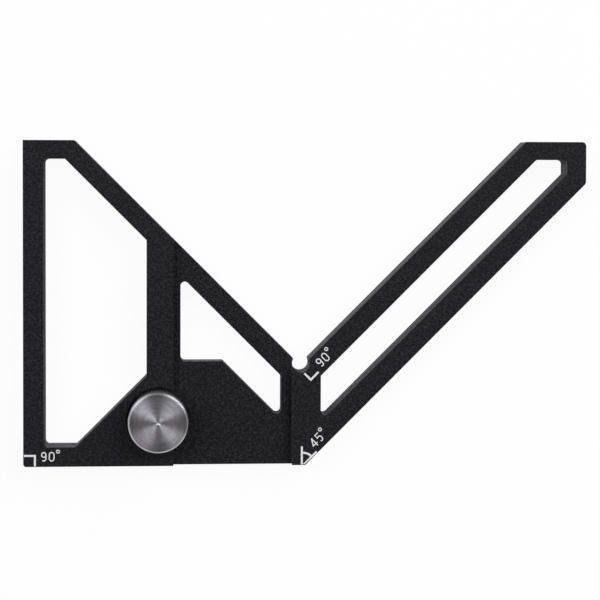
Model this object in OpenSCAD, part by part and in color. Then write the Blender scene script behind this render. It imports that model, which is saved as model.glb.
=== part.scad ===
// Center finder square: the head that clamps on a flat steel rule.
// It lies on its back. X runs along the foot, Y up the head and Z out of its face.
// The origin is on the back, in the middle of the head.

/* [Head] */
// Height of the head, from its foot to its top edges
head_h = 76.6; // [73:0.1:79]
// Thickness of the head
head_t = 7; // [6.5:0.1:10]
// Distance from the left edge to the line that halves the V
v_x = 65.2; // [64:0.1:68]
// Height of the V's corner above the foot
v_y = 23.25; // [21.5:0.05:25]
// Width of the arm, across its two long edges
arm_w = 17.2; // [16:0.1:20]
// Height of the upright face at the arm's end, which sets the head's width
arm_end_h = 9.85; // [8:0.05:14]
// Radius of the two corners at the arm's end
arm_corner_r = 1; // [0.2:0.1:2]
// Radius of the corner between the foot and the left edge
foot_corner_r = 0.7; // [0.2:0.1:2]

/* [Notch in the V] */
// Diameter of the round notch
notch_w = 4; // [3:0.1:4.4]
// Depth of the notch below the V's corner
notch_depth = 1.3; // [0.5:0.1:2]

/* [Rule channel] */
// Width of the steel rule
rule_w = 30; // [28:0.5:31]
// Thickness of the steel rule
rule_t = 1.2; // [1:0.1:1.3]
// Room for the rule, above it and beside it
rule_gap = 0.1; // [0.05:0.05:0.2]
// Depth of the channel below the face
channel_depth = 2.2; // [2:0.1:3]
// Reach of the lip over the rule's right edge
lip_reach = 2.1; // [1:0.1:2.5]

/* [Left window] */
// Bar between the window and the left edge
left_bar_w = 4.75; // [3:0.05:6]
// Bar between the window and the top edge
top_bar_w = 4.3; // [3.5:0.1:6]
// Bar between the window and the V's left face
slant_bar_w = 4.55; // [3:0.05:5.5]
// Bar between the window and the foot
foot_bar_w = 4.6; // [3:0.1:6]
// Post between the window and the channel's wall
post_w = 6.3; // [5:0.1:8]
// Wall between the window and the knob's pocket
pocket_wall = 1.6; // [1:0.1:2.5]

/* [Channel window] */
// Strip between the channel's wall and the window
channel_strip_w = 1.65; // [1:0.05:3]
// Bar between the window and the V's left face
channel_bar_w = 4.9; // [3:0.1:6]
// Bar between the window and the line that halves the V
spine_left_w = 4.6; // [3:0.1:6]
// Width of the window's slanting tail
tail_w = 7.35; // [5:0.05:9]
// Height of the solid block under the window
block_h = 24.45; // [20:0.05:28]

/* [Arm slot] */
// Bars on the two long sides of the slot
arm_bar_w = 4.8; // [3:0.1:6]
// Bar between the slot and the line that halves the V
spine_right_w = 4.7; // [3:0.1:6]
// Bar at the slot's right end
arm_end_w = 4.55; // [3:0.05:6]
// Bar between the slot and the arm's top edge
arm_top_w = 4.2; // [3:0.1:6]

/* [Window corners] */
// Radius of the windows' main corners
corner_r = 1; // [0.5:0.1:1.5]
// Radius of the windows' blunt corners
blunt_r = 0.4; // [0.2:0.1:1]

/* [Knob] */
// Diameter of the knob
knob_d = 14; // [12:0.5:16]
// Height of the knob
knob_h = 6.5; // [5.5:0.1:9]
// Distance from the channel's wall back to the knob's axis
knob_back = 3.5; // [3:0.1:4.5]
// Height of the knob's axis above the foot
knob_y = 11; // [10:0.1:12]
// Chamfer round the knob's top face
knob_chamfer = 0.5; // [0.2:0.1:1]
// Height of the smooth rim above the knurl, with its chamfer
rim_h = 1.1; // [1:0.1:2]
// Height of the plain neck below the knurl
neck_h = 0.6; // [0.3:0.1:1.2]
// Depth of the neck and of the groove under the rim
neck_depth = 0.45; // [0.3:0.05:0.6]
// Width of the groove under the rim
rim_groove_w = 0.35; // [0.2:0.05:0.6]
// Number of teeth in the knurl
knurl_teeth = 80; // [48:4:100]
// Depth of the knurl's grooves
knurl_depth = 0.25; // [0.1:0.05:0.25]
// Step from the rim in to the knurl's tips
knurl_step = 0.05; // [0:0.05:0.1]

/* [Clamp screw] */
// Diameter of the stud's thread
stud_d = 4; // [3:0.5:5]
// Room between the stud and the head's thread
thread_gap = 0.05; // [0.02:0.01:0.1]
// Pitch of the thread
thread_pitch = 0.7; // [0.5:0.05:0.8]
// Turns from clamped to fully open
open_turns = 2; // [1:0.5:2]
// Depth of the stud's press fit in the knob
press_depth = 4.5; // [3:0.1:4.7]
// Distance from the head's back up to the stud's tail
tail_inset = 0.15; // [0.1:0.05:0.3]
// Chamfer on both ends of the stud
stud_chamfer = 0.3; // [0.1:0.1:0.4]

/* [Washer and pocket] */
// Diameter of the washer
washer_d = 13; // [11:0.5:13.5]
// Thickness of the washer
washer_t = 0.8; // [0.5:0.1:1.2]
// Room between the washer's bore and the stud
washer_gap = 0.1; // [0.05:0.01:0.1]
// Chamfer on the washer's edge
washer_chamfer = 0.1; // [0.05:0.05:0.2]
// Depth of the pocket below the face
pocket_depth = 1.1; // [1:0.1:1.2]
// Room round the knob in its pocket
pocket_gap = 0.6; // [0.3:0.1:0.8]

/* [Retaining ring] */
// Outside diameter of the ring
ring_d = 7; // [6.5:0.1:8]
// Thickness of the ring
ring_t = 0.5; // [0.4:0.1:0.8]
// Depth of the stud's groove, which the ring snaps into
groove_depth = 0.4; // [0.3:0.05:0.6]
// Distance from the stud's tail up to the ring
ring_inset = 0.45; // [0.4:0.05:0.7]
// Room above and below the ring in its groove
ring_gap = 0.03; // [0.02:0.01:0.1]
// Width of the ring's mouth
mouth_w = 2.8; // [2.4:0.1:2.9]
// Radius of the two pockets that make the ring springy
lobe_r = 0.7; // [0.5:0.05:0.8]
// Room round the ring in the back's counterbore
counterbore_gap = 1; // [0.5:0.1:1.5]
// Room left above the ring when the knob is fully open
stop_gap = 0.1; // [0.05:0.05:0.3]

/* [Hidden] */
$fn = 96;
slack = 1;
root2 = sqrt(2);

// The slanting lines: x + y is constant on one kind, x - y on the other
v_left_sum = v_x + v_y;
v_right_diff = v_x - v_y;
arm_low_diff = v_right_diff + arm_w * root2;
head_w = arm_low_diff + head_h - arm_end_h;

// The channel and the knob's place
wall_x = v_x - rule_w - rule_gap;
lip_x = v_x - lip_reach;
floor_z = head_t - channel_depth;
knob_x = wall_x - knob_back;
pocket_r = knob_d / 2 + pocket_gap;
pocket_z = head_t - pocket_depth;
knob_z = pocket_z + washer_t;

// The clamp screw and its ring
stud_r = stud_d / 2;
stud_top_z = knob_z + press_depth;
groove_r = stud_r - groove_depth;
ring_z = tail_inset + ring_inset;
ring_top_z = ring_z + ring_t;
travel = thread_pitch * open_turns;
counterbore_h = ring_top_z + travel + stop_gap;

// The head's outline, counterclockwise from the foot's left corner
outline = [
    [0, 0],
    [arm_low_diff, 0],
    [head_w, head_h - arm_end_h],
    [head_w, head_h],
    [head_h + v_right_diff, head_h],
    [v_x, v_y],
    [v_left_sum - head_h, head_h],
    [0, head_h]
];
outline_r = [foot_corner_r, 0, arm_corner_r, arm_corner_r, 0, 0, 0, 0];

// The left window
left_sum = v_left_sum - slant_bar_w * root2;
left_diff = knob_x - knob_y - (pocket_r + pocket_wall) * root2;
left_right_x = wall_x - post_w;
left_top_y = head_h - top_bar_w;
left_window = [
    [left_bar_w, foot_bar_w],
    [left_diff + foot_bar_w, foot_bar_w],
    [left_right_x, left_right_x - left_diff],
    [left_right_x, left_sum - left_right_x],
    [left_sum - left_top_y, left_top_y],
    [left_bar_w, left_top_y]
];
left_window_r = [corner_r, blunt_r, blunt_r, blunt_r, blunt_r, corner_r];

// The channel's window, a slanting tail that goes round the solid block
channel_sum = v_left_sum - channel_bar_w * root2;
tail_sum = channel_sum - tail_w * root2;
channel_left_x = wall_x + channel_strip_w;
channel_right_x = v_x - spine_left_w;
channel_window = [
    [channel_left_x, block_h],
    [tail_sum - block_h, block_h],
    [channel_right_x, tail_sum - channel_right_x],
    [channel_right_x, channel_sum - channel_right_x],
    [channel_left_x, channel_sum - channel_left_x]
];
channel_window_r = [corner_r, 0, corner_r, corner_r, corner_r];

// The arm's slot
slot_high_diff = v_right_diff + arm_bar_w * root2;
slot_low_diff = arm_low_diff - arm_bar_w * root2;
slot_left_x = v_x + spine_right_w;
slot_right_x = head_w - arm_end_w;
slot_top_y = head_h - arm_top_w;
arm_slot = [
    [slot_left_x, slot_left_x - slot_low_diff],
    [slot_right_x, slot_right_x - slot_low_diff],
    [slot_right_x, slot_top_y],
    [slot_top_y + slot_high_diff, slot_top_y],
    [slot_left_x, slot_left_x - slot_high_diff]
];
arm_slot_r = [corner_r, blunt_r, corner_r, corner_r, blunt_r];

// Unit vector from one point to another
function toward(from, to) = (to - from) / norm(to - from);

// Half the angle between a corner's two sides
function half_angle(before, corner, after) =
    acos(toward(corner, before) * toward(corner, after)) / 2;

// The two points where a corner's arc leaves its sides
function arc_ends(before, corner, after, r) =
    let (reach = r / tan(half_angle(before, corner, after)))
    [corner + toward(corner, before) * reach, corner + toward(corner, after) * reach];

// The centre of a corner's arc
function arc_centre(before, corner, after, r) =
    let (middle = toward(corner, before) + toward(corner, after))
    corner + middle / norm(middle) * r / sin(half_angle(before, corner, after));

// A closed outline whose outward corners have round arcs
module rounded_outline(corners, radii) {
    n = len(corners);
    polygon([
        for (i = [0 : n - 1])
            each radii[i] > 0
                ? arc_ends(corners[(i + n - 1) % n], corners[i], corners[(i + 1) % n], radii[i])
                : [corners[i]]
    ]);
    for (i = [0 : n - 1])
        if (radii[i] > 0)
            translate(arc_centre(corners[(i + n - 1) % n], corners[i], corners[(i + 1) % n], radii[i]))
                circle(radii[i]);
}

// Moves the head from its foot's corner to the middle of its box
module in_place() {
    translate([-head_w / 2, -head_h / 2, 0])
        children();
}

// Moves a piece of the clamp to the knob's axis
module at_knob(z) {
    in_place()
        translate([knob_x, knob_y, z])
            children();
}

// The round notch that clears a burr and shows the rule's edge at the V's corner
module notch() {
    translate([v_x, v_y - notch_depth + notch_w / 2])
        circle(d = notch_w);
}

// The head seen from the front, with all that goes right through it
module head_plan() {
    difference() {
        rounded_outline(outline, outline_r);
        rounded_outline(left_window, left_window_r);
        rounded_outline(channel_window, channel_window_r);
        rounded_outline(arm_slot, arm_slot_r);
        notch();
    }
}

// The open channel, its undercut that takes the rule's edge, and the end of the lip at the V's corner
module rule_channel() {
    translate([wall_x, -slack, floor_z]) {
        cube([lip_x - wall_x, head_h + 2 * slack, channel_depth + slack]);
        cube([v_x - wall_x, head_h + 2 * slack, rule_t + rule_gap]);
    }
    translate([wall_x, v_y, floor_z])
        cube([v_x - wall_x, head_h, channel_depth + slack]);
}

// The one-piece head
module body() {
    color([0.13, 0.13, 0.15])
        difference() {
            in_place()
                linear_extrude(head_t)
                    head_plan();
            in_place()
                rule_channel();
            at_knob(pocket_z)
                cylinder(h = pocket_depth + slack, r = pocket_r);
            at_knob(-slack)
                cylinder(h = head_t + slack, r = stud_r + thread_gap);
            at_knob(-slack)
                cylinder(h = counterbore_h + slack, r = ring_d / 2 + counterbore_gap);
        }
}

// The knurl's outline: straight V grooves all round
module knurl_plan(tip_r) {
    pitch = 360 / knurl_teeth;
    root_r = tip_r - knurl_depth;
    polygon([
        for (i = [0 : knurl_teeth - 1])
            each [
                tip_r * [cos(i * pitch), sin(i * pitch)],
                root_r * [cos((i + 0.5) * pitch), sin((i + 0.5) * pitch)]
            ]
    ]);
}

// The turned knob: a neck, the knurl, a groove, and a smooth rim with its chamfer
module clamp_knob() {
    r = knob_d / 2;
    rim_z = knob_h - rim_h;
    color([0.62, 0.61, 0.63])
        at_knob(knob_z)
            difference() {
                union() {
                    rotate_extrude()
                        polygon([
                            [0, 0],
                            [r - neck_depth, 0],
                            [r - neck_depth, rim_z],
                            [r, rim_z],
                            [r, knob_h - knob_chamfer],
                            [r - knob_chamfer, knob_h],
                            [0, knob_h]
                        ]);
                    translate([0, 0, neck_h])
                        linear_extrude(rim_z - rim_groove_w - neck_h)
                            knurl_plan(r - knurl_step);
                }
                translate([0, 0, -slack])
                    cylinder(h = press_depth + slack, r = stud_r);
            }
}

// The threaded stud, pressed into the knob, with the ring's groove near its tail
module clamp_stud() {
    length = stud_top_z - tail_inset;
    groove_low = ring_inset - ring_gap;
    groove_high = ring_inset + ring_t + ring_gap;
    color([0.55, 0.55, 0.56])
        at_knob(tail_inset)
            rotate_extrude()
                polygon([
                    [0, 0],
                    [stud_r - stud_chamfer, 0],
                    [stud_r, stud_chamfer],
                    [stud_r, groove_low],
                    [groove_r, groove_low],
                    [groove_r, groove_high],
                    [stud_r, groove_high],
                    [stud_r, length - stud_chamfer],
                    [stud_r - stud_chamfer, length],
                    [0, length]
                ]);
}

// The washer that presses on the rule's left margin
module clamp_washer() {
    r = washer_d / 2;
    bore_r = stud_r + washer_gap;
    color([0.2, 0.2, 0.21])
        at_knob(pocket_z)
            rotate_extrude()
                polygon([
                    [bore_r, 0],
                    [r - washer_chamfer, 0],
                    [r, washer_chamfer],
                    [r, washer_t - washer_chamfer],
                    [r - washer_chamfer, washer_t],
                    [bore_r, washer_t]
                ]);
}

// The open ring that snaps into the stud's groove and stops the knob coming off
module retaining_ring() {
    r = ring_d / 2;
    color([0.5, 0.5, 0.52])
        at_knob(ring_z)
            linear_extrude(ring_t)
                difference() {
                    circle(r);
                    circle(groove_r);
                    translate([0, -mouth_w / 2])
                        square([r + slack, mouth_w]);
                    for (side = [-1, 1])
                        rotate(side * 115)
                            translate([groove_r + lobe_r / 2, 0])
                                circle(lobe_r);
                }
}

body();
clamp_knob();
clamp_stud();
clamp_washer();
retaining_ring();
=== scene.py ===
"""Center finder square: the looks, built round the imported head, knob, stud, washer and ring."""
import math

import bmesh
import bpy
from mathutils import Euler, Matrix, Vector


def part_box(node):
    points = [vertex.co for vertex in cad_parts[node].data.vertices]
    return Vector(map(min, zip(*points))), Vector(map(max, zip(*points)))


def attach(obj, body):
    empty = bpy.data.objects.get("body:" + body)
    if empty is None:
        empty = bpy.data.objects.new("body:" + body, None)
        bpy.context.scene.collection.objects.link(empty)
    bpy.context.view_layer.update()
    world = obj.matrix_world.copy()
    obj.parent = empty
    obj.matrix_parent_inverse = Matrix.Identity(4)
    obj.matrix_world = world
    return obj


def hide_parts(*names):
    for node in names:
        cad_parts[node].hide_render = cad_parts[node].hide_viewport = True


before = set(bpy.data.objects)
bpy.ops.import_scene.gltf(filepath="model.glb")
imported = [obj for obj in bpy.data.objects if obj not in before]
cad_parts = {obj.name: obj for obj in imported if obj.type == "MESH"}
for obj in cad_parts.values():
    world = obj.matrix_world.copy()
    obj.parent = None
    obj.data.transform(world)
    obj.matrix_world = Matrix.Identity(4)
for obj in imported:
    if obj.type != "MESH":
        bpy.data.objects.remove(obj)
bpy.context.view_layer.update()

MM = 0.001
NONE = (0.0, 0.0, 0.0)

# Where things are, from the CAD nodes, in metres
BODY_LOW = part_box("body")[0]
KNOB_LOW, KNOB_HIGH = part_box("clamp_knob")
AXIS = (KNOB_LOW + KNOB_HIGH) / 2


def foot(x, y, z):
    """A point given in mm from the foot's left corner, in metres in the row frame."""
    return Vector((BODY_LOW.x + x * MM, BODY_LOW.y + y * MM, z * MM))


# Node materials


class Nodes:
    """One node tree, filled a node at a time."""

    def __init__(self, tree):
        self.tree = tree
        self.tree.nodes.clear()

    def add(self, kind, inputs=None, **settings):
        node = self.tree.nodes.new(kind)
        for key, value in settings.items():
            setattr(node, key, value)
        for key, value in (inputs or {}).items():
            socket = node.inputs[key]
            if isinstance(value, bpy.types.NodeSocket):
                self.tree.links.new(value, socket)
            else:
                socket.default_value = value
        return node

    def math(self, operation, a, b=0.0):
        return self.add("ShaderNodeMath", {0: a, 1: b}, operation=operation).outputs[0]

    def vector(self, operation, inputs):
        return self.add("ShaderNodeVectorMath", inputs, operation=operation).outputs

    def noise(self, vector, scale, detail=2.0, roughness=0.5):
        inputs = {"Vector": vector, "Scale": scale, "Detail": detail, "Roughness": roughness}
        return self.add("ShaderNodeTexNoise", inputs).outputs["Fac"]

    def noise_1d(self, w, scale, detail):
        inputs = {"W": w, "Scale": scale, "Detail": detail}
        return self.add("ShaderNodeTexNoise", inputs, noise_dimensions="1D").outputs["Fac"]

    def spread(self, value, low, high, to_low, to_high):
        """The value's range from low to high becomes to_low to to_high, held at both ends."""
        ends = {"From Min": low, "From Max": high, "To Min": to_low, "To Max": to_high}
        return self.add("ShaderNodeMapRange", {"Value": value, **ends}).outputs["Result"]

    def vary(self, noise, low, high):
        """A noise that moves between low and high."""
        return self.spread(noise, 0.3, 0.7, low, high)

    def blend(self, factor, a, b):
        node = self.add("ShaderNodeMix", data_type="RGBA")
        for key, value in ((0, factor), (6, a), (7, b)):
            if isinstance(value, bpy.types.NodeSocket):
                self.tree.links.new(value, node.inputs[key])
            elif key:
                node.inputs[key].default_value = (*value, 1.0)
            else:
                node.inputs[key].default_value = value
        return node.outputs[2]

    def bump(self, height, distance, strength=1.0):
        inputs = {"Height": height, "Distance": distance, "Strength": strength}
        return self.add("ShaderNodeBump", inputs).outputs["Normal"]

    def surface(self, shader):
        self.add("ShaderNodeOutputMaterial", {"Surface": shader})


def new_material(name):
    material = bpy.data.materials.new(name)
    material.use_nodes = True
    return material, Nodes(material.node_tree)


# The head's black: noise scales for each metre, colours, gloss and relief
GRAIN_SCALE = 1700.0
PIT_SCALE = 3400.0
CUT_SCALE = 3200.0
CUT_STRETCH = (0.006, 0.006, 1.0)
FACE_DARK = (0.0002, 0.0001, 0.0020)
FACE_PALE = (0.0260, 0.0236, 0.0340)
# Wall tone: partly the walls' own paler cut finish, partly painted sheen standing in for their
# bright grazing reflection
WALL_PALE_AND_SHEEN = (0.133, 0.130, 0.153)
WALL_ROUGHNESS = 0.72
BLACK_IOR = 1.28
BLACK_RELIEF = 0.160 * MM


def black_anodise():
    """Black anodised aluminium: a sandy grain on the faces, and walls with faint long cuts, paler
    partly by their own finish and partly by painted sheen.

    Painted shade darkens the walls that face right, and painted light makes those that face left a
    little paler.
    """
    material, n = new_material("black_anodise")
    place = n.add("ShaderNodeTexCoord").outputs["Object"]
    normal = n.add("ShaderNodeNewGeometry").outputs["Normal"]
    facing = n.add("ShaderNodeSeparateXYZ", {0: normal}).outputs
    face = n.spread(n.math("ABSOLUTE", facing[2]), 0.35, 0.85, 0.0, 1.0)
    wall = n.math("SUBTRACT", 1.0, face)

    grain = n.noise(place, GRAIN_SCALE, 3.0, 0.7)
    pits = n.add("ShaderNodeTexVoronoi", {"Vector": place, "Scale": PIT_SCALE}).outputs["Distance"]
    slow = n.noise(place, 55.0)
    drawn_out = n.vector("MULTIPLY", {0: place, 1: CUT_STRETCH})[0]
    cuts = n.noise(drawn_out, CUT_SCALE, 2.0, 0.6)

    sand = n.math("ADD", n.spread(grain, 0.44, 0.70, 0.0, 1.0), n.vary(slow, -0.04, 0.04))
    face_colour = n.blend(sand, FACE_DARK, FACE_PALE)
    # Painted shade on walls that face right (+X), painted light on walls that face left (-X)
    right_facing_painted_shade = n.spread(facing[0], 0.3, 0.9, 1.0, 0.06)
    left_facing_painted_light = n.spread(facing[0], -0.95, -0.80, 1.4, 1.0)
    marks = n.math("MULTIPLY", n.vary(cuts, 0.60, 0.78), n.vary(grain, 0.80, 1.20))
    cut_marks_and_painted_shade = n.math("MULTIPLY", marks, n.math("MULTIPLY", right_facing_painted_shade, left_facing_painted_light))
    # Wall colour: cut marks and grain, with painted shade to the right and painted light to the
    # left, on a tone that is partly painted sheen
    wall_tone_shade_and_sheen = n.blend(cut_marks_and_painted_shade, NONE, WALL_PALE_AND_SHEEN)

    face_relief = n.math("ADD", grain, n.math("MULTIPLY", pits, 0.5))
    wall_relief = n.math("ADD", n.math("MULTIPLY", cuts, 0.08), n.math("MULTIPLY", grain, 0.50))
    on_face = n.math("MULTIPLY", face_relief, face)
    on_wall = n.math("MULTIPLY", wall_relief, wall)
    face_roughness = n.vary(grain, 0.50, 0.68)
    shader = n.add(
        "ShaderNodeBsdfPrincipled",
        {
            "Base Color": n.blend(face, wall_tone_shade_and_sheen, face_colour),
            "Roughness": n.spread(face, 0.0, 1.0, WALL_ROUGHNESS, face_roughness),
            "IOR": BLACK_IOR,
            "Normal": n.bump(n.math("ADD", on_face, on_wall), BLACK_RELIEF),
        },
    )
    n.surface(shader.outputs[0])
    return material


# The turned metal: noise scales for each metre, and where its zones start and end
RING_SCALE = 9000.0
ARC_SCALE = 2200.0
ARC_LENGTH = 0.8 * MM
CLOUD_SCALE = 420.0
DULL_FROM = 3.0 * MM
DULL_TO = 6.4 * MM
CHAMFER_FROM = 6.50 * MM
CHAMFER_TO = 6.58 * MM
CHAMFER_SHARE = 0.88
TURNED_RELIEF = 0.004 * MM


def turned_metal(name, colour, roughness, anisotropy, rim_share=1.0):
    """Metal turned on a lathe round the knob's axis, with fine rings and short arcs.

    Towards the rim it keeps only rim_share of its colour, up to the chamfer.
    """
    material, n = new_material(name)
    place = n.add("ShaderNodeTexCoord").outputs["Object"]
    local = n.vector("SUBTRACT", {0: place, 1: (AXIS.x, AXIS.y, 0.0)})[0]
    parts = n.add("ShaderNodeSeparateXYZ", {0: local}).outputs
    flat = n.add("ShaderNodeCombineXYZ", {0: parts[0], 1: parts[1]}).outputs[0]
    radius = n.vector("LENGTH", {0: flat})["Value"]
    along = n.math("ADD", radius, parts[2])
    way_out = n.vector("NORMALIZE", {0: flat})[0]
    circle = n.vector("SCALE", {0: way_out, "Scale": ARC_LENGTH})[0]
    climb = n.add("ShaderNodeCombineXYZ", {2: along}).outputs[0]
    polar = n.vector("ADD", {0: circle, 1: climb})[0]

    fine = n.noise_1d(along, RING_SCALE, 3.0)
    arcs = n.noise(polar, ARC_SCALE, 3.0, 0.6)
    cloud = n.noise(place, CLOUD_SCALE, 3.0)
    tone = n.math("ADD", n.vary(arcs, 0.0, 0.55), n.vary(cloud, 0.0, 0.45))
    dull = n.spread(radius, DULL_FROM, DULL_TO, 1.0, rim_share)
    chamfer = n.spread(radius, CHAMFER_FROM, CHAMFER_TO, 0.0, CHAMFER_SHARE)
    zone = n.math("MAXIMUM", dull, chamfer)
    share = n.math("MULTIPLY", n.spread(tone, 0.15, 1.0, 0.62, 1.0), zone)
    height = n.math("ADD", n.math("MULTIPLY", fine, 0.5), arcs)
    shader = n.add(
        "ShaderNodeBsdfPrincipled",
        {
            "Base Color": n.blend(share, NONE, colour),
            "Metallic": 1.0,
            "Roughness": n.spread(arcs, 0.25, 0.75, roughness - 0.02, roughness + 0.03),
            "Anisotropic": anisotropy,
            "Anisotropic Rotation": 0.25,
            "Normal": n.bump(height, TURNED_RELIEF),
            "Tangent": n.add("ShaderNodeTangent", direction_type="RADIAL", axis="Z").outputs[0],
        },
    )
    n.surface(shader.outputs[0])
    return material


def white_marking():
    """The white of the angle signs, a little uneven as laser marking is."""
    material, n = new_material("white_marking")
    place = n.add("ShaderNodeTexCoord").outputs["Object"]
    grain = n.noise(place, 5200.0)
    shader = n.add(
        "ShaderNodeBsdfPrincipled",
        {
            "Base Color": n.blend(grain, (0.70, 0.69, 0.73), (0.96, 0.95, 0.98)),
            "Roughness": n.vary(grain, 0.55, 0.75),
            "Normal": n.bump(grain, 0.006 * MM, 0.5),
        },
    )
    n.surface(shader.outputs[0])
    return material


def floor_white(shadow_share, mirrored_share):
    """The plain pale floor: near white to the eye, with the object's shadow kept.

    The shares say how much of the shadow stays, seen by the camera and in a mirror.
    """
    material, n = new_material("floor_white")
    place = n.add("ShaderNodeTexCoord").outputs["Object"]
    colour = n.blend(n.noise(place, 9.0), (0.93, 0.93, 0.935), (0.95, 0.95, 0.955))
    paper = n.add("ShaderNodeBsdfDiffuse", {"Color": colour}).outputs[0]
    white = {"Color": (1.0, 1.0, 1.0, 1.0), "Strength": 1.0}
    glow = n.add("ShaderNodeEmission", white).outputs[0]
    path = n.add("ShaderNodeLightPath").outputs
    mirrored = n.math("MAXIMUM", path["Is Glossy Ray"], path["Is Transmission Ray"])
    direct = n.math("MULTIPLY", path["Is Camera Ray"], 1.0 - shadow_share)
    share = n.math("MAXIMUM", direct, n.math("MULTIPLY", mirrored, 1.0 - mirrored_share))
    n.surface(n.add("ShaderNodeMixShader", {0: share, 1: paper, 2: glow}).outputs[0])
    return material


BLACK = black_anodise()
TURNED = turned_metal(
    "turned_steel", (0.775, 0.75, 0.835), roughness=0.31, anisotropy=0.88, rim_share=0.66
)
STUD_STEEL = turned_metal("stud_steel", (0.42, 0.42, 0.43), roughness=0.34, anisotropy=0.3)
SATIN = turned_metal("knurl_steel", (0.46, 0.455, 0.47), roughness=0.50, anisotropy=0.0)
DARK_STEEL = turned_metal("dark_steel", (0.060, 0.060, 0.063), roughness=0.42, anisotropy=0.4)
WHITE = white_marking()


# Shared steps of the pieces


def dress(node, material):
    """Gives a CAD node its material."""
    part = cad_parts[node]
    part.data.materials.clear()
    part.data.materials.append(material)
    return part


def add_piece(name, mesh, body, material):
    """Links a new piece, paints it and lets it ride on its body."""
    piece = bpy.data.objects.new(name, mesh)
    bpy.context.scene.collection.objects.link(piece)
    mesh.materials.append(material)
    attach(piece, body)
    return piece


def finished_mesh(work, name, smooth_below=None):
    """The mesh of a finished shape, smooth across edges below an angle in degrees."""
    bmesh.ops.recalc_face_normals(work, faces=work.faces)
    mesh = bpy.data.meshes.new(name)
    work.to_mesh(mesh)
    work.free()
    if smooth_below:
        mesh.polygons.foreach_set("use_smooth", [True] * len(mesh.polygons))
        mesh.set_sharp_from_angle(angle=math.radians(smooth_below))
    return mesh


def turned_row(work, height, turns, reaches):
    """One row of a turned shape: a point at each turn, or a single one on the axis."""
    if max(reaches) == 0:
        return [work.verts.new((AXIS.x, AXIS.y, height))]
    return [
        work.verts.new((AXIS.x + reach * math.cos(turn), AXIS.y + reach * math.sin(turn), height))
        for turn, reach in zip(turns, reaches)
    ]


def join_rows(work, rows, slots):
    """Faces between the rows of a turned shape, in the material slot of each gap."""
    for low, high, slot in zip(rows, rows[1:], slots):
        count = max(len(low), len(high))
        for i in range(count):
            j = (i + 1) % count
            if len(low) == 1:
                corners = (low[0], high[j], high[i])
            elif len(high) == 1:
                corners = (low[i], low[j], high[0])
            else:
                corners = (low[i], low[j], high[j], high[i])
            work.faces.new(corners).material_index = slot


# The head

BREAK = 0.30 * MM
BREAK_SEGMENTS = 3
BREAK_ANGLE = 30.0
WELD = 0.012 * MM
FLAT_ANGLE = 0.5


def break_edges(part):
    """Small rounded breaks along a part's sharp edges, on flat faces without seams."""
    weld = part.modifiers.new("weld", "WELD")
    weld.merge_threshold = WELD
    flat = part.modifiers.new("flat", "DECIMATE")
    flat.decimate_type = "DISSOLVE"
    flat.angle_limit = math.radians(FLAT_ANGLE)
    bevel = part.modifiers.new("break", "BEVEL")
    bevel.width = BREAK
    bevel.segments = BREAK_SEGMENTS
    bevel.limit_method = "ANGLE"
    bevel.angle_limit = math.radians(BREAK_ANGLE)
    bevel.harden_normals = True


break_edges(dress("body", BLACK))
dress("clamp_washer", DARK_STEEL)
dress("retaining_ring", STUD_STEEL)

# The turned knob

KNURL_TEETH = 80

# Places round one tooth, in parts of it, and 1 where the place is in the root
TOOTH = ((-0.12, 0), (0.12, 0), (0.44, 1), (0.56, 1))

# Radius and height in mm from the knob's lower end, then how far the knurl cuts in there
KNOB_ROWS = [
    (0.0, 4.5, 0), (2.0, 4.5, 0), (2.0, 0.0, 0), (6.42, 0.0, 0), (6.52, 0.03, 0), (6.55, 0.12, 0),
    (6.55, 0.52, 0), (6.62, 0.60, 0), (6.80, 0.62, 0.08), (6.92, 0.74, 0.20), (6.95, 0.84, 0.25),
    (6.95, 4.82, 0.25), (6.92, 4.92, 0.20), (6.80, 5.03, 0.08), (6.62, 5.05, 0), (6.55, 5.09, 0),
    (6.55, 5.34, 0), (6.60, 5.40, 0), (6.92, 5.40, 0), (6.98, 5.43, 0), (7.0, 5.49, 0),
    (7.0, 6.06, 0), (6.985, 6.12, 0), (6.95, 6.166, 0), (6.64, 6.476, 0), (6.622, 6.489, 0),
    (6.60, 6.497, 0), (6.575, 6.50, 0), (6.0, 6.5, 0),
    (4.6, 6.5, 0), (3.2, 6.5, 0), (1.8, 6.5, 0), (0.8, 6.5, 0), (0.34, 6.5, 0), (0.31, 6.492, 0),
    (0.05, 6.385, 0), (0.0, 6.375, 0),
]

# The satin finish: outside this radius and below this height, in mm
SATIN_FROM = 6.5
SATIN_TOP = 5.35
KNOB_SMOOTH = 28


def turned_knob():
    """The knob in full: knurl with broken tips, neck, rim, chamfer, face and centre point."""
    steps = [(i + part, root) for i in range(KNURL_TEETH) for part, root in TOOTH]
    turns = [math.radians(360.0 / KNURL_TEETH * step) for step, _ in steps]
    work = bmesh.new()
    rows = []
    for radius, height, cut in KNOB_ROWS:
        reaches = [(radius - cut * root) * MM for _, root in steps]
        rows.append(turned_row(work, KNOB_LOW.z + height * MM, turns, reaches))
    slots = [
        int(row[0] > SATIN_FROM and above[1] < SATIN_TOP)
        for row, above in zip(KNOB_ROWS, KNOB_ROWS[1:])
    ]
    join_rows(work, rows, slots)
    mesh = finished_mesh(work, "turned_knob", KNOB_SMOOTH)
    knob = add_piece("turned_knob", mesh, "clamp_screw", TURNED)
    mesh.materials.append(SATIN)
    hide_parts("clamp_knob")


turned_knob()

# The threaded stud, in mm

PITCH = 0.7
THREAD_LOW = 1.30
THREAD_HIGH = 6.60
THREAD_DEPTH = 0.40
THREAD_FADE = 0.25
CREST = 0.08
FLANK = 0.32
STUD_RADIUS = 2.0
STUD_COLUMNS = 56
STEPS_PER_PITCH = 14
STUD_SMOOTH = 35

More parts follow.
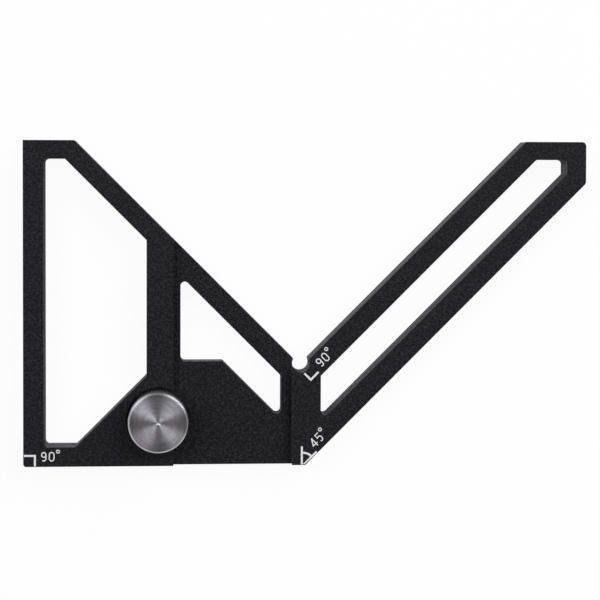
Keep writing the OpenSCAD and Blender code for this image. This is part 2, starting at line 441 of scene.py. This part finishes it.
# Radius and height below the thread, with the groove for the ring, and above it
STUD_ROWS_LOW = [
    (0.0, 0.15), (1.70, 0.15), (2.0, 0.45), (2.0, 0.57), (1.6, 0.57), (1.6, 1.13), (1.9, 1.13),
]
STUD_ROWS_HIGH = [(2.0, 6.75), (2.0, 10.90), (1.70, 11.2), (0.0, 11.2)]


def thread_radius(turn, z):
    """The stud's radius, on a right-handed thread that fades out at both ends."""
    phase = (z / PITCH - turn / (2 * math.pi)) % 1.0
    depth = min(max((abs(phase - 0.5) - CREST) / FLANK, 0.0), 1.0)
    fade = min(1.0, (z - THREAD_LOW) / THREAD_FADE, (THREAD_HIGH - z) / THREAD_FADE)
    return STUD_RADIUS - THREAD_DEPTH * depth * max(fade, 0.0)


def threaded_stud():
    """The stud with its thread, the groove for the ring, and chamfered ends."""
    turns = [2 * math.pi * i / STUD_COLUMNS for i in range(STUD_COLUMNS)]
    length = THREAD_HIGH - THREAD_LOW
    levels = int(length / PITCH * STEPS_PER_PITCH)
    thread = [(None, THREAD_LOW + length * i / levels) for i in range(levels + 1)]
    work = bmesh.new()
    rows = []
    for radius, z in STUD_ROWS_LOW + thread + STUD_ROWS_HIGH:
        reaches = [(thread_radius(turn, z) if radius is None else radius) * MM for turn in turns]
        rows.append(turned_row(work, z * MM, turns, reaches))
    join_rows(work, rows, [0] * len(rows))
    mesh = finished_mesh(work, "threaded_stud", STUD_SMOOTH)
    stud = add_piece("threaded_stud", mesh, "clamp_screw", STUD_STEEL)
    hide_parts("clamp_stud")


threaded_stud()

# The white angle signs, in mm

SIGN_W = 0.46
DIGIT_W = 0.25

# They start just under the face, so that they also sit on its rounded edge, inside the head's sides
MARK_LOW = 6.93
MARK_HIGH = 7.008
MARK_STEP = 0.002
MARK_INSET = 0.16


def arc(cx, cy, rx, ry, start, end, steps=14):
    """Points along an ellipse's arc, angles in degrees."""
    turns = [math.radians(start + (end - start) * i / steps) for i in range(steps + 1)]
    return [(cx + rx * math.cos(t), cy + ry * math.sin(t)) for t in turns]


def ring_points(cx, cy, rx, ry, steps=28):
    """Points of a closed ellipse."""
    return arc(cx, cy, rx, ry, 0, 360 * (steps - 1) / steps, steps - 1)


def sides(points, width, closed):
    """The left and right edge of a line drawn through the points, with mitred corners."""
    left, right = [], []
    count = len(points)
    for i, point in enumerate(points):
        before = points[i - 1] if closed or i else None
        after = points[(i + 1) % count] if closed or i < count - 1 else None
        here = Vector(point)
        normals = []
        for a, b in ((before, point), (point, after)):
            if a is not None and b is not None:
                way = (Vector(b) - Vector(a)).normalized()
                normals.append(Vector((-way.y, way.x)))
        out = sum(normals, Vector((0.0, 0.0))).normalized()
        reach = width / 2 / max(out.dot(normals[0]), 0.4)
        left.append(here + out * reach)
        right.append(here - out * reach)
    return left, right


def round_cap(end, inside, width, steps=8):
    """Points of a half circle round a line's end."""
    way = (Vector(end) - Vector(inside)).normalized()
    base = math.atan2(way.y, way.x)
    return [
        Vector(end) + Vector((math.cos(base + t), math.sin(base + t))) * width / 2
        for t in (math.pi / 2 - math.pi * i / steps for i in range(1, steps))
    ]


def add_slab(work, loops, place, layer):
    """A thin closed slab: one loop is filled, two loops leave the space between them filled."""
    rings = []
    for loop in loops:
        levels = (MARK_LOW, MARK_HIGH + MARK_STEP * layer)
        rings.append([[work.verts.new(place(p, z)) for p in loop] for z in levels])
    for low, high in rings:
        count = len(low)
        for i in range(count):
            j = (i + 1) % count
            work.faces.new((low[i], low[j], high[j], high[i]))
    if len(rings) == 1:
        low, high = rings[0]
        work.faces.new(high)
        work.faces.new(low[::-1])
        return
    for level in (0, 1):
        outer, inner = rings[0][level], rings[1][level]
        for i in range(len(outer)):
            j = (i + 1) % len(outer)
            work.faces.new((outer[i], outer[j], inner[j], inner[i]))


def add_line(work, points, width, place, layer, closed=False, capped=True):
    """A line of the given width through the points. Lines that cross are on different layers."""
    left, right = sides(points, width, closed)
    if closed:
        add_slab(work, [left, right], place, layer)
        return
    end = round_cap(points[-1], points[-2], width) if capped else []
    start = round_cap(points[0], points[1], width) if capped else []
    add_slab(work, [left + end + right[::-1] + start], place, layer)


# Each digit as lines through its stroke's middle, from the digit's middle, and whether they close
GLYPHS = {
    "9": [
        (ring_points(0.0, 0.44, 0.50, 0.56), True),
        ([(0.50, 0.44)] + arc(0.0, -0.38, 0.50, 0.62, 0, -122), False),
    ],
    "0": [(arc(0.0, 0.40, 0.55, 0.62, 0, 180) + arc(0.0, -0.40, 0.55, 0.62, 180, 360), True)],
    "4": [
        ([(0.34, 1.02), (-0.58, -0.50), (0.68, -0.50)], False),
        ([(0.34, 1.02), (0.34, -1.02)], False),
    ],
    "5": [
        (
            [(0.50, 1.02), (-0.38, 1.02), (-0.42, 0.16)]
            + arc(0.0, -0.36, 0.54, 0.64, 128, -115),
            False,
        )
    ],
}
DIGIT_ADVANCE = 1.83
DEGREE_PLACE = (3.30, 1.19)
DEGREE_RADIUS = 0.36
DEGREE_W = DIGIT_W * 0.9


def add_angle_text(work, digits, middle, turn):
    """Two digits and a degree ring, reading along the turn, from the first digit's middle."""
    spin = Matrix.Rotation(math.radians(turn), 2)

    def placed(shift):
        def place(p, z):
            q = Vector(middle) + spin @ (Vector(p) + Vector(shift))
            return foot(q.x, q.y, z)

        return place

    for i, digit in enumerate(digits):
        for layer, (points, closed) in enumerate(GLYPHS[digit]):
            add_line(work, points, DIGIT_W, placed((i * DIGIT_ADVANCE, 0.0)), layer, closed)
    ring = ring_points(0.0, 0.0, DEGREE_RADIUS, DEGREE_RADIUS, 20)
    add_line(work, ring, DEGREE_W, placed(DEGREE_PLACE), 0, True)


def sign(name, lines, digits, middle, turn):
    """One white sign on the head's face: its lines, and its number of degrees."""
    work = bmesh.new()

    def place(p, z):
        return foot(max(p[0], MARK_INSET), max(p[1], MARK_INSET), z)

    for layer, points in enumerate(lines):
        add_line(work, points, SIGN_W, place, layer, capped=False)
    add_angle_text(work, digits, middle, turn)
    add_piece(name, finished_mesh(work, name), "head", WHITE)


sign(
    "sign_90_foot",
    [[(0.10, 2.64), (2.73, 2.64), (2.73, 0.10)]],
    "90",
    (4.80, 2.41),
    0,
)
sign(
    "sign_90_v",
    [[(65.99, 21.76), (67.53, 20.24), (69.33, 22.11)]],
    "90",
    (69.64, 24.32),
    45,
)
sign(
    "sign_45_tip",
    [
        [(65.44, 4.42), (65.44, 0.12)],
        [(65.86, 0.08), (68.96, 3.18)],
        arc(65.62, 0.00, 2.95, 2.95, 88, 45, 6),
    ],
    "45",
    (68.21, 5.26),
    45,
)

# Floor, light, camera

# The floor's half side, its drop below the head and the lamps' distance, in metres
FLOOR_HALF = 3.0
FLOOR_DROP = 0.02 * MM
LAMP_DISTANCE = 1.20

# The photograph's camera: lens and sensor in mm, place in mm, turn in degrees
LENS = 99.6355
SENSOR = 36.0
SHIFT_X = 0.03
SHIFT_Y = -0.12
CAMERA_PLACE = (-28.983, 28.959, 397.148)
CAMERA_TURN = (-1.6426, -3.3787, 0.1526)


def add_floor():
    """The floor, just under the head so that the two never share a plane."""
    mesh = bpy.data.meshes.new("floor")
    half, z = FLOOR_HALF, BODY_LOW.z - FLOOR_DROP
    mesh.from_pydata(
        [(-half, -half, z), (half, -half, z), (half, half, z), (-half, half, z)], [], [(0, 1, 2, 3)]
    )
    mesh.materials.append(floor_white(shadow_share=0.06, mirrored_share=0.30))
    floor = bpy.data.objects.new("floor", mesh)
    bpy.context.scene.collection.objects.link(floor)


def add_world(ceiling, horizon, foot_screen, left_screen):
    """A plain studio that lights the object from the ceiling and a brighter horizon.

    The camera and the metal see white walls, the ceiling, and paler screens on two sides.
    """
    world = bpy.data.worlds.new("studio")
    bpy.context.scene.world = world
    world.use_nodes = True
    n = Nodes(world.node_tree)
    way = n.add("ShaderNodeTexCoord").outputs["Generated"]
    parts = n.add("ShaderNodeSeparateXYZ", {0: way}).outputs
    rise = n.spread(parts[2], 0.09, 0.15, 0.0, 1.0)
    low = n.spread(parts[2], 0.45, 0.75, 1.0, 0.0)
    near_side = n.spread(parts[1], -0.35, -0.65, 0.0, 1.0)
    left_side = n.spread(parts[0], -0.35, -0.65, 0.0, 1.0)
    near_foot = n.blend(n.math("MULTIPLY", near_side, low), (ceiling,) * 3, (foot_screen,) * 3)
    above = n.blend(n.math("MULTIPLY", left_side, low), near_foot, (left_screen,) * 3)
    lit = n.blend(rise, (horizon,) * 3, (ceiling,) * 3)
    shown = n.blend(rise, (1.0, 1.0, 1.0), above)
    path = n.add("ShaderNodeLightPath").outputs
    direct = n.math("MAXIMUM", path["Is Camera Ray"], path["Is Glossy Ray"])
    seen = n.math("MAXIMUM", direct, path["Is Transmission Ray"])
    back = n.add("ShaderNodeBackground", {"Color": n.blend(seen, lit, shown), "Strength": 1.0})
    n.add("ShaderNodeOutputWorld", {"Surface": back.outputs[0]})


def add_softbox(name, azimuth, elevation, side, power):
    """A square soft lamp aimed at the object; azimuth from +X towards +Y, in degrees."""
    light = bpy.data.lights.new(name, "AREA")
    light.shape = "RECTANGLE"
    light.size = side
    light.size_y = side
    light.energy = power
    lamp = bpy.data.objects.new(name, light)
    bpy.context.scene.collection.objects.link(lamp)
    a, e = math.radians(azimuth), math.radians(elevation)
    out = Vector((math.cos(a) * math.cos(e), math.sin(a) * math.cos(e), math.sin(e)))
    lamp.location = out * LAMP_DISTANCE
    lamp.rotation_mode = "QUATERNION"
    lamp.rotation_quaternion = out.to_track_quat("Z", "Y")


def add_camera():
    """The photograph's camera: looking down at the face, from above its upper left part."""
    data = bpy.data.cameras.new("camera")
    data.sensor_width = SENSOR
    data.lens = LENS
    data.shift_x = SHIFT_X
    data.shift_y = SHIFT_Y
    data.clip_start = 0.01
    camera = bpy.data.objects.new("camera", data)
    bpy.context.scene.collection.objects.link(camera)
    camera.location = [v * MM for v in CAMERA_PLACE]
    camera.rotation_euler = Euler([math.radians(v) for v in CAMERA_TURN])
    bpy.context.scene.camera = camera


add_floor()
add_world(ceiling=0.13, horizon=0.40, foot_screen=0.55, left_screen=0.90)
add_softbox("key", azimuth=41, elevation=45, side=0.92, power=11.8)
add_softbox("fill", azimuth=152, elevation=54, side=0.58, power=5.4)
add_camera()
bpy.context.scene.view_settings.view_transform = "Standard"
